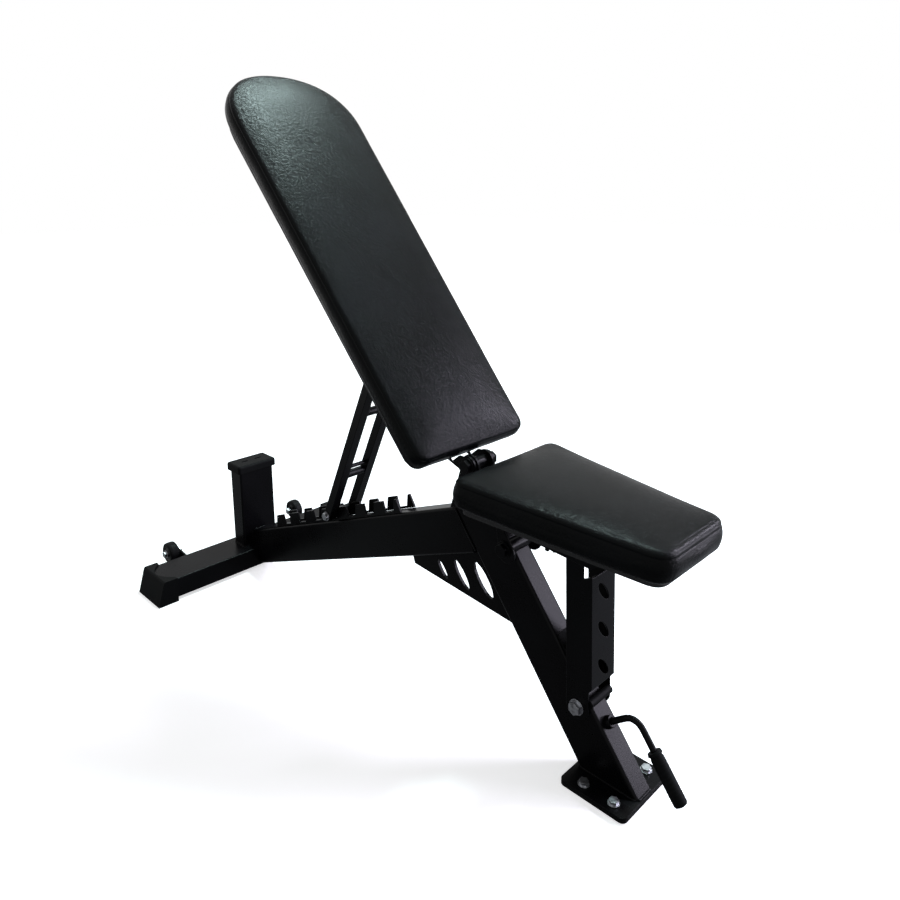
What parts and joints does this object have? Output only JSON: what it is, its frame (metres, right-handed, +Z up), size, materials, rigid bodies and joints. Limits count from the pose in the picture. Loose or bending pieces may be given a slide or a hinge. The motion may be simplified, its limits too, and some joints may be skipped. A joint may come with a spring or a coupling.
{
  "type": "adjustable weight bench",
  "caption": "Adjustable weight bench: sloping main beam with a notched rack and ladder prop for the tilting backrest, tilting seat on a slotted strut, rear wheels and a lifting handle.",
  "frame": {"origin": "centre of the overall bounding box in plan, at floor level, with the backrest at its stored angle", "axes": "+X towards the seat end, +Y to the left of a seated user, +Z up; XZ is the plane of symmetry of the shape"},
  "size_m": [1.245, 0.54, 1.0922],
  "materials": {
    "painted_frame": "satin black powder coat",
    "black_rubber": "matt moulded rubber",
    "zinc_fasteners": "bright zinc plate",
    "vinyl_cover": "grained black vinyl, soft sheen",
    "backing_board": "dark painted plywood",
    "wheel_tyres": "smooth tread",
    "wheel_hubs": "matt moulded plastic"
  },
  "bodies": {
    "frame": {"rear_cross_tube": "painted_frame", "rear_foot_cap_left": "black_rubber", "rear_foot_cap_right": "black_rubber", "rear_post": "painted_frame", "rear_post_cap": "black_rubber", "main_beam": "painted_frame", "front_leg": "painted_frame", "gusset_plate": "painted_frame", "notch_plate_left": "painted_frame", "notch_plate_right": "painted_frame", "hinge_plate_left": "painted_frame", "hinge_plate_right": "painted_frame", "back_hinge_tube": "painted_frame", "seat_hinge_tube": "painted_frame", "back_hinge_bolt": "zinc_fasteners", "seat_hinge_bolt": "painted_frame", "strut_pivot_bolt": "zinc_fasteners", "ladder_foot_rod": "painted_frame", "base_plate": "painted_frame", "base_pad": "black_rubber", "base_bolt_1": "zinc_fasteners", "base_bolt_2": "zinc_fasteners", "base_bolt_3": "zinc_fasteners", "base_bolt_4": "zinc_fasteners", "leg_bumper": "black_rubber", "handle_rod": "painted_frame", "handle_collar": "painted_frame", "handle_grip": "black_rubber", "wheel_bracket_left": "painted_frame", "wheel_bracket_right": "painted_frame", "wheel_bolt_left": "zinc_fasteners", "wheel_bolt_right": "zinc_fasteners"},
    "backrest": {"back_pad": "vinyl_cover", "back_board": "backing_board", "back_rail": "painted_frame", "back_cross_plate_lower": "painted_frame", "back_cross_plate_upper": "painted_frame", "back_hinge_ear_left": "painted_frame", "back_hinge_ear_right": "painted_frame", "ladder_pivot_bolt": "zinc_fasteners"},
    "ladder": {"ladder_bar_left": "painted_frame", "ladder_bar_right": "painted_frame", "ladder_rung_lower": "painted_frame", "ladder_rung_upper": "painted_frame", "ladder_tie_rod": "painted_frame", "ladder_foot_bolt_left": "zinc_fasteners", "ladder_foot_bolt_right": "zinc_fasteners"},
    "seat": {"seat_pad": "vinyl_cover", "seat_board": "backing_board", "seat_channel": "painted_frame", "seat_rack_left": "painted_frame", "seat_rack_right": "painted_frame", "seat_adjust_pin": "zinc_fasteners"},
    "strut": {"seat_strut": "painted_frame", "strut_stop_rod": "painted_frame", "strut_stop_sleeve": "black_rubber"},
    "wheel_left": {"wheel_hub_left": "wheel_hubs", "wheel_tyre_left": "wheel_tyres"},
    "wheel_right": {"wheel_hub_right": "wheel_hubs", "wheel_tyre_right": "wheel_tyres"}
  },
  "joints": [
    {"name": "backrest_hinge", "type": "hinge", "parent": "frame", "child": "backrest", "pos_m": [0.22034, 0, 0.439], "axis": [0, 1, 0], "range_deg": [-49.4, 28]},
    {"name": "ladder_hinge", "type": "hinge", "parent": "backrest", "child": "ladder", "pos_m": [0.01522, 0, 0.60825], "axis": [0, 1, 0], "range_deg": [-44.5, 78]},
    {"name": "seat_hinge", "type": "hinge", "parent": "frame", "child": "seat", "pos_m": [0.30834, 0, 0.326], "axis": [0, -1, 0], "range_deg": [0, 12]},
    {"name": "strut_hinge", "type": "hinge", "parent": "frame", "child": "strut", "pos_m": [0.45334, 0, 0.118], "axis": [0, -1, 0], "range_deg": [0, 14]},
    {"name": "wheel_spin_left", "type": "hinge", "parent": "frame", "child": "wheel_left", "pos_m": [-0.59766, 0.171, 0.044], "axis": [0, 1, 0], "continuous": true},
    {"name": "wheel_spin_right", "type": "hinge", "parent": "frame", "child": "wheel_right", "pos_m": [-0.59766, -0.171, 0.044], "axis": [0, 1, 0], "continuous": true}
  ],
  "couplings": [
    {"joint": "ladder_hinge", "follows": "backrest_hinge", "ratio": -1.57},
    {"joint": "strut_hinge", "follows": "seat_hinge", "ratio": 1.1666}
  ]
}
